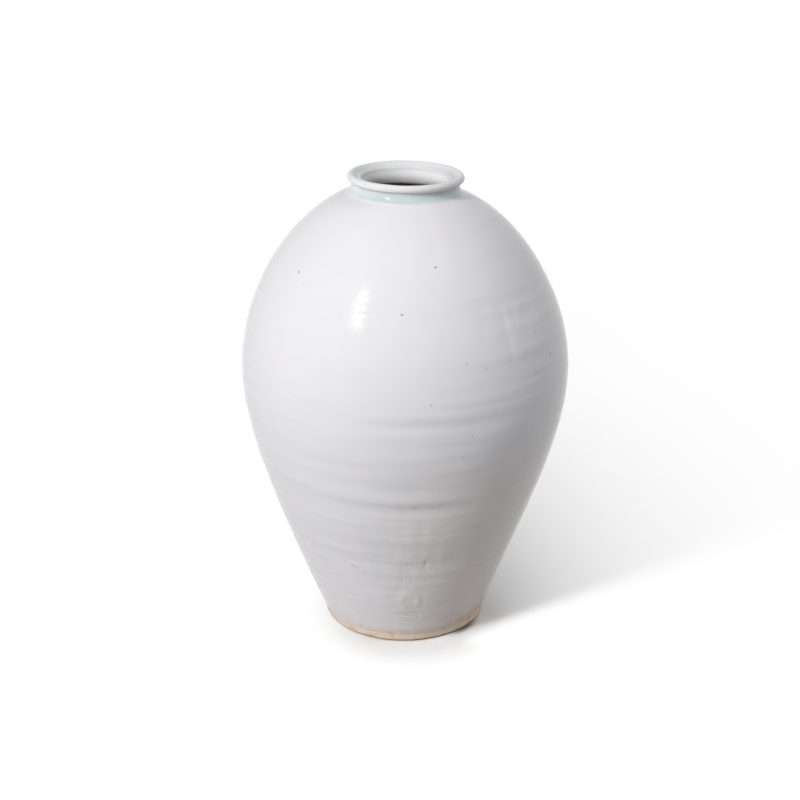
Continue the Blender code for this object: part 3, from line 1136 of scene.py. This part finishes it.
# %% Place the specks
SPECKS = (
    # bearing, height, radius (mm)
    (-52.3, 375.8, 1.15),
    (-46.0, 368.7, 0.55),
    (14.4, 390.4, 1.00),
    (-1.0, 355.3, 1.00),
    (60.4, 299.8, 1.10),
    (53.0, 324.8, 0.65),
    (21.1, 312.8, 0.55),
    (28.3, 306.4, 0.55),
    (8.4, 279.6, 0.70),
    (22.4, 247.4, 0.65),
    (19.8, 226.6, 0.70),
    (49.4, 184.6, 0.60),
    (4.0, 187.8, 0.45),
    (12.2, 189.1, 0.60),
    (-10.3, 146.9, 0.60),
    (8.6, 34.0, 0.80),
    (-30.6, 12.6, 0.90),
    (38.4, 23.4, 1.00),
)
SCRAPES = (
    # from bearing, height, to bearing, height, points, radius (mm)
    (-28.4, 100.0, -22.0, 94.6, 6, 0.75),
    (-22.0, 94.0, -18.6, 88.8, 4, 0.60),
    (-18.0, 88.6, -9.8, 84.3, 6, 0.55),
    (-8.2, 283.2, -6.0, 283.2, 3, 0.50),
    (26.6, 143.9, 32.6, 139.9, 6, 0.60),
    (-36.0, 159.6, -31.0, 162.4, 4, 0.45),
    (-4.0, 37.6, 8.0, 35.0, 8, 0.85),
)
SWELL_LEAST, SWELL_BY, SWELL_STEP = 0.7, 0.3, 5.0


def on_wall(bearing, height):
    """The place on the outer wall at a bearing and a height, in mm."""
    radius = np.interp(height, wall_line[:, 1], wall_line[:, 0])
    return tuple(float(side) for side in settle(radius, bearing, height))


def all_specks():
    """Every speck, with those that make up the scrapes."""
    specks = list(SPECKS)
    for bearing, height, end_bearing, end_height, count, size in SCRAPES:
        for step in range(count):
            share = step / (count - 1)
            swell = size * (SWELL_LEAST + SWELL_BY * math.sin(SWELL_STEP * step))
            along = bearing + (end_bearing - bearing) * share
            specks.append((along, height + (end_height - height) * share, swell))
    return specks


print(len(all_specks()), "specks, with those of the scrapes")

# %% [markdown]
# Painting the specks
#
# The shader finds the nearest speck, measured in its own sizes, and darkens what lies within
# about one size of it. A little noise in the places makes the outlines ragged, and each speck is
# a shallow pit. The back has specks of its own. There they are the middles of Voronoi cells.

# %% Paint the specks
SPECK_BROWN, SPECK_SHARE = (0.115, 0.085, 0.070, 1.0), 0.9
SPECK_EDGE, SPECK_PIT = (0.45, 1.15), 0.12
RAGGED_SCALE, RAGGED_MIDDLE = 0.9, (0.5, 0.5, 0.5)
BACK_FROM_TO, BACK_CELL, BACK_SPECK_EDGE = (72.0, 80.0), 34.0, (0.4, 0.9)


def specked(recipe, colour, relief):
    """Colour and relief with the placed specks in them, and a few random ones at the back."""
    noise = {"Vector": recipe.place, "Scale": RAGGED_SCALE}
    shift = recipe.node("ShaderNodeTexNoise", {}, noise, "Color")
    ends = {0: shift, 1: RAGGED_MIDDLE}
    shift = recipe.node("ShaderNodeVectorMath", {"operation": "SUBTRACT"}, ends)
    place = recipe.node("ShaderNodeVectorMath", {"operation": "ADD"}, {0: recipe.place, 1: shift})
    nearest = None
    for bearing, height, size in all_specks():
        ends = {0: place, 1: on_wall(bearing, height)}
        away = recipe.node("ShaderNodeVectorMath", {"operation": "DISTANCE"}, ends, "Value") / size
        nearest = away if nearest is None else nearest.maths("MINIMUM", nearest, away)
    mask = 1.0 - recipe.fade(nearest, *SPECK_EDGE)
    cells = {"Vector": place, "Scale": 1.0 / BACK_CELL}
    gap = recipe.node("ShaderNodeTexVoronoi", {}, cells, "Distance") * BACK_CELL
    behind = recipe.fade(recipe.bearing.maths("ABSOLUTE", recipe.bearing), *BACK_FROM_TO)
    behind = behind * (1.0 - recipe.fade(gap, *BACK_SPECK_EDGE))
    mask = mask.maths("MAXIMUM", mask, behind)
    return recipe.blend(mask * SPECK_SHARE, colour, SPECK_BROWN), relief - SPECK_PIT * mask


print("random specks beyond", BACK_FROM_TO[1], "degrees on both sides")

# %% [markdown]
# Tints of the wall
#
# Four tints lie over the white. The pool of the neck runs down over the shoulder, further on the
# right than on the left. A thin brown line lies in the lower join, where the glaze crawled off
# its sharp edge. Low on the wall the glaze is mottled with mauve, and at the right, on the shaded
# side, it is painted warmer and a little darker: partly a warm tint of the clay behind the glaze,
# partly painted shade. Each is a blend whose share fades over height, bearing or radius.

# %% Tints of the wall
GLAZE_MAUVE = (0.785, 0.740, 0.742, 1.0)
JOIN_BROWN = (0.52, 0.45, 0.40, 1.0)
POOL_REACH_LEFT, POOL_REACH, REACH_GROWS = 2.2, 5.2, (-20.0, 10.0)
POOL_INSIDE_NECK, POOL_BELOW_SEAT, POOL_SHARE = 1.0, 20.0, 0.8
JOIN_LINE, JOIN_LINE_WIDTH, JOIN_SHARE = LOWER_JOIN - 0.6, 1.9, 0.6
JOIN_BEARING, JOIN_SPREAD, JOIN_SPOTS = 7.0, 9.0, ((6.0, 3.0), 0.40, 0.62)
MAUVE_SPOTS, MAUVE_STRETCH = ((8.0, 4.0, 0.62), 0.44, 0.64), (2.0, 1.0)
MAUVE_UP_TO, MAUVE_SHARE = (70.0, 220.0), 0.42
WARM_SHADE_BEARING, WARM_SHADE_SPREAD, WARM_SHADE_UP_TO, WARM_SHADE_SHARE = 42.0, 34.0, (110.0, 260.0), 0.7


def tinted(recipe, colour):
    """The white of the wall with its four tints, one of them partly painted shade."""
    reach = (POOL_REACH - POOL_REACH_LEFT) * on_the_right(recipe, *REACH_GROWS)
    reach = POOL_REACH_LEFT + reach + neck_radius
    near_neck = recipe.fade(recipe.radius, reach, neck_radius - POOL_INSIDE_NECK)
    near_neck = near_neck * recipe.fade(recipe.height, widest[1], dome_top - POOL_BELOW_SEAT)
    colour = pooled(recipe, near_neck * near_neck * POOL_SHARE, colour)
    in_join = recipe.hump(recipe.height - JOIN_LINE, JOIN_LINE_WIDTH)
    in_join = in_join * recipe.hump(recipe.bearing - JOIN_BEARING, JOIN_SPREAD)
    in_join = in_join * recipe.spots(recipe.place, *JOIN_SPOTS)
    colour = recipe.blend(in_join * JOIN_SHARE, colour, JOIN_BROWN)
    mottled = recipe.spots(recipe.stretched(recipe.place, *MAUVE_STRETCH), *MAUVE_SPOTS)
    mottled = mottled * (1.0 - recipe.fade(recipe.height, *MAUVE_UP_TO))
    colour = recipe.blend(mottled * MAUVE_SHARE, colour, GLAZE_MAUVE)
    # warm tint, partly painted shade, on the shaded right low on the wall
    warm_and_shaded = recipe.hump(recipe.bearing - WARM_SHADE_BEARING, WARM_SHADE_SPREAD)
    warm_and_shaded = warm_and_shaded * (1.0 - recipe.fade(recipe.height, *WARM_SHADE_UP_TO))
    return recipe.blend(warm_and_shaded * WARM_SHADE_SHARE, colour, GLAZE_BLUSH_AND_SHADE)


print("pool reaches", POOL_REACH_LEFT, "to", POOL_REACH, "mm down the shoulder")

# %% [markdown]
# The wall's finish
#
# Now the wall can be finished in one recipe, from the clay at the foot to the pool at the neck.
# The tints come first, the bare foot covers them where the glaze ends, and the specks lie on top.

# %% Finish the wall
white_glaze, recipe = new_finish("white_glaze")
colour, roughness, relief = melt_look(recipe)
colour = tinted(recipe, colour)
colour, roughness, relief = with_bare_foot(recipe, colour, roughness, relief)
colour, relief = specked(recipe, colour, relief)
shade(recipe, colour, roughness, relief)
make_glassy(recipe)
print("white glaze:", len(recipe.tree.nodes), "nodes")

# %% [markdown]
# Neck and lip
#
# These are the same melt with other shares of the pool. The neck is blue-green all round and
# smoother, and it shines more than the wall, because its glaze is thick. On the lip the tint lies
# in the ledge, most of all in its groove, and is weaker at the back.

# %% Finish the neck and the lip
POOL_GLOSS = 0.13
NECK_LEAST, NECK_CLOUD = 0.75, (12.0,)
SMOOTHER = 0.8
LEDGE_FROM, LEDGE_TO, UNDER_GROOVE, BY_GROOVE = 0.5, 3.5, 2.0, 1.0
LEDGE_TINT, GROOVE_TINT = 0.36, 0.16
GROOVE_TINT_OUT, GROOVE_TINT_WIDTH = 0.8, 1.1
BACK_FADES, BACK_FADES_BY = (110.0, 165.0), 0.7

pooled_glaze, recipe = new_finish("pooled_glaze")
colour, roughness, relief = melt_look(recipe)
thick = NECK_LEAST + (1.0 - NECK_LEAST) * recipe.cloud(recipe.place, *NECK_CLOUD)
shade(recipe, pooled(recipe, thick, colour), roughness * SMOOTHER, relief)
make_glassy(recipe, POOL_GLOSS)

lip_glaze, recipe = new_finish("lip_glaze")
colour, roughness, relief = melt_look(recipe)
in_ledge = recipe.fade(recipe.radius, bead_centre[0] - LEDGE_FROM, bead_centre[0] - LEDGE_TO)
above_groove = recipe.fade(recipe.height, groove[1] - UNDER_GROOVE, groove[1] - BY_GROOVE)
in_ledge = in_ledge * above_groove
from_groove = recipe.radius - GROOVE_RADIUS - GROOVE_TINT_OUT
in_groove = in_ledge * recipe.hump(from_groove, GROOVE_TINT_WIDTH)
at_back = recipe.fade(recipe.bearing.maths("ABSOLUTE", recipe.bearing), *BACK_FADES)
tint = (in_ledge * LEDGE_TINT + in_groove * GROOVE_TINT) * (1.0 - BACK_FADES_BY * at_back)
shade(recipe, recipe.blend(tint, colour, GLAZE_POOLED), roughness * SMOOTHER, relief)
make_glassy(recipe)
print("neck and lip are finished")

# %% [markdown]
# Inside
#
# Little glaze was poured in. Under the lip the throat's pale glaze is painted paler than the wall's
# white, as painted light. A finger's breadth down it is painted darker, as painted shade, and the
# inside of the jar is a thin, mottled grey-brown. Three colours that follow each other down the
# height give this.

# %% Finish the inside
INSIDE_GREY = (0.86, 0.85, 0.83, 1.0)
INSIDE_BROWN = (0.76, 0.73, 0.68, 1.0)
# pale glaze of the throat, partly its own colour and partly painted light; below it the painted
# shade
LIT_THROAT_GLAZE = (0.91, 0.905, 0.90, 1.0)
PAINTED_THROAT_SHADE = (0.57, 0.555, 0.53, 1.0)
INSIDE_ROUGHNESS = 0.16
INSIDE_SPOTS = (15.0, 4.0, 0.6), 0.3, 0.7
INSIDE_RIBS, INSIDE_STRETCH, INSIDE_RISE = (7.0,), (12.0, 1.0), 0.30
# Heights above the neck's seat, from the higher to the lower one.
PAINTED_SHADE_FROM_TO, DEEP_INSIDE_FROM_TO = (6.0, -4.0), (-4.0, -16.0)


def down_the_throat(recipe, start, end):
    """0 above the start, and 1 below the end, both measured from the neck's seat."""
    return recipe.fade(recipe.height, dome_top + start, dome_top + end)


inside_glaze, recipe = new_finish("inside_glaze")
ribs = recipe.cloud(recipe.stretched(recipe.place, *INSIDE_STRETCH), *INSIDE_RIBS)
# painted shade a finger's breadth down the throat
painted_throat_shade = down_the_throat(recipe, *PAINTED_SHADE_FROM_TO)
colour = recipe.blend(painted_throat_shade, LIT_THROAT_GLAZE, PAINTED_THROAT_SHADE)
mottled = recipe.blend(recipe.spots(recipe.place, *INSIDE_SPOTS), INSIDE_GREY, INSIDE_BROWN)
colour = recipe.blend(down_the_throat(recipe, *DEEP_INSIDE_FROM_TO), colour, mottled)
shade(recipe, colour, INSIDE_ROUGHNESS, INSIDE_RISE * ribs)
make_glassy(recipe, POOL_GLOSS)
print("inside glaze:", len(recipe.tree.nodes), "nodes")

# %% [markdown]
# Dress the pieces
#
# Each piece takes its finishes, stands in for its imported node and rides with the one body of this
# vase.

# %% Finishes and bodies
DRESSED = (
    (foot_rim, "foot_ring", "bare_clay", (bare_clay, bare_clay)),
    (floor_disc, "base_slab", "floor_clay", (floor_clay, floor_clay)),
    (lower_wall, "lower_body", "body_glaze", (white_glaze, inside_glaze)),
    (belly_wall, "belly", "body_glaze", (white_glaze, inside_glaze)),
    (shoulder_wall, "shoulder", "body_glaze", (white_glaze, inside_glaze)),
    (glazed_neck, "neck_collar", "pooled_glaze", (pooled_glaze, inside_glaze)),
    (rolled_lip, "mouth_ring", "lip_glaze", (lip_glaze, lip_glaze)),
)
for piece, node, slot, finishes in DRESSED:
    for finish in finishes:
        piece.data.materials.append(finish)
    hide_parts(node)
    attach(piece, "root")
print(len(DRESSED), "pieces dressed")

# %% [markdown]
# The studio floor
#
# The jar stands on a plain pale sheet that fades to white, with one soft shadow that grows paler
# as it leaves the jar. White on screen comes from the sheet itself and not from more light: for
# rays from the camera, and rays mirrored in the glaze, a share of the sheet is plain white, and
# the rest is paper that shows the light and the shadow. All other rays see plain pale paper, so
# that the jar is lit as it would be on paper.

# %% Which rays see the sheet, and from where
def seen_rays(recipe):
    """1 for rays of the camera, and for mirrored and transmitted ones; 0 for the rest."""
    camera_ray = recipe.node("ShaderNodeLightPath", {}, {}, "Is Camera Ray")
    seen = camera_ray.maths("MAXIMUM", camera_ray, camera_ray.beside("Is Glossy Ray"))
    return seen.maths("MAXIMUM", seen, camera_ray.beside("Is Transmission Ray"))


def distance_towards(recipe, bearing):
    """How far each point of the floor lies from the axis in the direction of a bearing, in mm."""
    turn = (recipe.bearing - bearing) * math.radians(1.0)
    return recipe.radius * turn.maths("COSINE", turn)


print("the sheet is seen by camera, mirrored and transmitted rays")

# %% [markdown]
# Shade of the paper
#
# The lamps cast the shadow, but it is a touch darker than they make it, and darker still along
# the right edge of the foot, where hardly any light gets in. More light elsewhere would change the
# jar too, so both shades are written into the paper, as humps that start at the foot.

# %% Shade the paper
PAPER_SEEN, PAPER_BOUNCE = 0.95, 0.42
LEFT_SIDE, RIGHT_SIDE, BACK_SIDE = (-90.0, 5.0), (28.0, 46.0), (158.0, 180.0)
PRESS_REACH, PRESS_SHADE = 4.2, 0.60
PRESS_FROM, PRESS_TO = (30.0, 47.0), (52.0, 70.0)
TONE_REACH, TONE_SHADE = 110.0, 0.13

paper, recipe = new_finish("studio_paper")
seen = seen_rays(recipe)
behind = recipe.fade(recipe.bearing, *BACK_SIDE)
in_shadow = recipe.fade(recipe.bearing, *RIGHT_SIDE) * (1.0 - behind)
from_foot = recipe.radius - foot_radius
under_edge = recipe.hump(from_foot, PRESS_REACH) * recipe.fade(recipe.bearing, *PRESS_FROM)
under_edge = under_edge * (1.0 - recipe.fade(recipe.bearing, *PRESS_TO))
greyer = PRESS_SHADE * under_edge + TONE_SHADE * in_shadow * recipe.hump(from_foot, TONE_REACH)
shade_of_paper = PAPER_BOUNCE + seen * (PAPER_SEEN - greyer - PAPER_BOUNCE)
sides = {side: shade_of_paper for side in range(3)}
paper_colour = recipe.node("ShaderNodeCombineXYZ", {}, sides)
lit = recipe.node("ShaderNodeBsdfDiffuse", {}, {"Color": paper_colour})
print("paper reflects", PAPER_SEEN, "where it is seen, and", PAPER_BOUNCE, "towards the jar")

# %% [markdown]
# Where the sheet turns white
#
# The share of white grows within a hand's breadth of the foot in front and at the left, and over
# half a metre along the shadow, where it follows a falling exponential. The shadow's right edge
# is a straight line past the foot, so distance across that line tells where it ends. Edges that
# widen with the distance from the jar look like those of a real soft shadow.

# %% Fade the sheet to white
WHITE_FROM, WHITE_TO = 10.0, 52.0
SOONER_FROM, SOONER_TO = 65.0, 30.0
SHADOW_BEARING, SHADOW_START, SHADOW_FADE = 104.0, 82.0, 127.0
EDGE_BEARING = 40.0
EDGE_FROM, EDGE_FROM_WIDENS = 80.0, 0.05
EDGE_TO, EDGE_TO_WIDENS = 85.0, 0.20

at_left = 1.0 - recipe.fade(recipe.bearing, *LEFT_SIDE) + behind
near = recipe.fade(from_foot, WHITE_FROM - SOONER_FROM * at_left, WHITE_TO - SOONER_TO * at_left)
shadow_run = (distance_towards(recipe, SHADOW_BEARING) - SHADOW_START) / SHADOW_FADE
along = 1.0 - shadow_run.maths("EXPONENT", -shadow_run)
along = along.maths("MAXIMUM", along, 0.0)
across = distance_towards(recipe, EDGE_BEARING)
edge_from = EDGE_FROM + EDGE_FROM_WIDENS * recipe.radius
edge_to = EDGE_TO + EDGE_TO_WIDENS * recipe.radius
past_edge = along + (1.0 - along) * recipe.fade(across, edge_from, edge_to)
leaving = (near + in_shadow * (past_edge - near)) * seen
white = recipe.node("ShaderNodeEmission", {}, {"Strength": 1.0})
sheet = recipe.node("ShaderNodeMixShader", {}, {0: leaving, 1: lit, 2: white})
recipe.tree.nodes.remove(recipe.shader)
recipe.feed(recipe.tree.nodes["Material Output"].inputs["Surface"], sheet)
print("studio paper:", len(recipe.tree.nodes), "nodes")

# %% [markdown]
# The sheet
#
# The sheet itself is one square, so large that its edges stay far from the jar. Nothing on it is
# shaped, because the shader does all the work. It isn't part of the jar.

# %% Lay the floor
FLOOR_SIDE = 60.0

sheet_mesh = bpy.data.meshes.new("studio_floor")
half_side = FLOOR_SIDE / 2
corners = [(x * half_side, y * half_side, 0.0) for x, y in ((-1, -1), (1, -1), (1, 1), (-1, 1))]
sheet_mesh.from_pydata(corners, [], [(0, 1, 2, 3)])
sheet_mesh.materials.append(paper)
studio_floor = bpy.data.objects.new("studio_floor", sheet_mesh)
bpy.context.scene.collection.objects.link(studio_floor)
print("floor laid,", FLOOR_SIDE, "m on each side")

# %% [markdown]
# Light
#
# One large soft lamp stands at the left, in front of the jar and above it. Its reflection is the
# bright patch on the shoulder, so that patch tells where it stands and how large it looks. A much
# weaker one on the right puts a small spark on the neck. The rest is the pale room, which is
# darker at the right and behind, and keeps the shaded side open but grey.

# %% Hang the lamps
LAMP_AIM = Vector((0.0, 0.0, 0.25))
KEY_BEARING, KEY_RISE, KEY_AWAY = -38.5, 37.2, 2.2
KEY_WIDTH, KEY_HEIGHT, KEY_POWER = 0.30, 0.72, 23.7
SPARK_BEARING, SPARK_RISE, SPARK_AWAY = 73.0, 34.0, 1.8
SPARK_WIDTH, SPARK_HEIGHT, SPARK_POWER = 0.16, 0.16, 1.0


def soft_lamp(name, bearing, rise, away, width, height, power):
    """An area lamp that faces the jar from a bearing and an angle above it."""
    light = bpy.data.lights.new(name, "AREA")
    light.shape = "RECTANGLE"
    light.size = width
    light.size_y = height
    light.energy = power
    lamp = bpy.data.objects.new(name, light)
    bpy.context.scene.collection.objects.link(lamp)
    turn, up = math.radians(bearing), math.radians(rise)
    out = Vector((math.sin(turn) * math.cos(up), -math.cos(turn) * math.cos(up), math.sin(up)))
    lamp.location = LAMP_AIM + out * away
    lamp.rotation_euler = out.to_track_quat("Z", "Y").to_euler()
    return lamp


soft_lamp("key_lamp", KEY_BEARING, KEY_RISE, KEY_AWAY, KEY_WIDTH, KEY_HEIGHT, KEY_POWER)
soft_lamp(
    "spark_lamp", SPARK_BEARING, SPARK_RISE, SPARK_AWAY, SPARK_WIDTH, SPARK_HEIGHT, SPARK_POWER
)
bpy.context.scene.view_settings.view_transform = "Standard"
print("two lamps hung")

# %% [markdown]
# The pale room
#
# The world shader is the room. It is white to the camera and to mirrored rays. To the rest it is
# three soft glows on the dark: a strong one low on the left, from the wall that the key lamp also
# lights, a wide faint one on the right, and a low one behind, which keeps the back of the jar from
# going dark and doesn't reach its front. A dot product with a direction, raised to a power, gives
# such a glow, and the power sets how narrow it is.

# %% Light the room
# bearing, angle above the floor, narrowness, strength
LEFT_GLOW = (-50.0, 14.0, 36.0, 8.4)
RIGHT_GLOW = (84.0, 49.0, 8.0, 2.1)
BACK_GLOW = (-170.0, 6.0, 14.0, 1.1)


def room_glow(recipe, direction, bearing, rise, narrowness, strength):
    """A soft glow of the room round a bearing and an angle above the floor."""
    turn, up = math.radians(bearing), math.radians(rise)
    middle = (math.sin(turn) * math.cos(up), -math.cos(turn) * math.cos(up), math.sin(up))
    ends = {0: direction, 1: middle}
    facing = recipe.node("ShaderNodeVectorMath", {"operation": "DOT_PRODUCT"}, ends, "Value")
    facing = facing.maths("MAXIMUM", facing, 0.0)
    return strength * facing.maths("POWER", facing, narrowness)


world = bpy.data.worlds.new("pale_room")
world.use_nodes = True
bpy.context.scene.world = world
recipe = Recipe(world.node_tree)
direction = recipe.node("ShaderNodeTexCoord", {}, {}, "Generated")
level = 0.0
for glow in (LEFT_GLOW, RIGHT_GLOW, BACK_GLOW):
    level = level + room_glow(recipe, direction, *glow)
seen = seen_rays(recipe)
background = world.node_tree.nodes["Background"]
recipe.feed(background.inputs["Color"], (1.0, 1.0, 1.0, 1.0))
recipe.feed(background.inputs["Strength"], level + seen * (1.0 - level))
print("room lit")
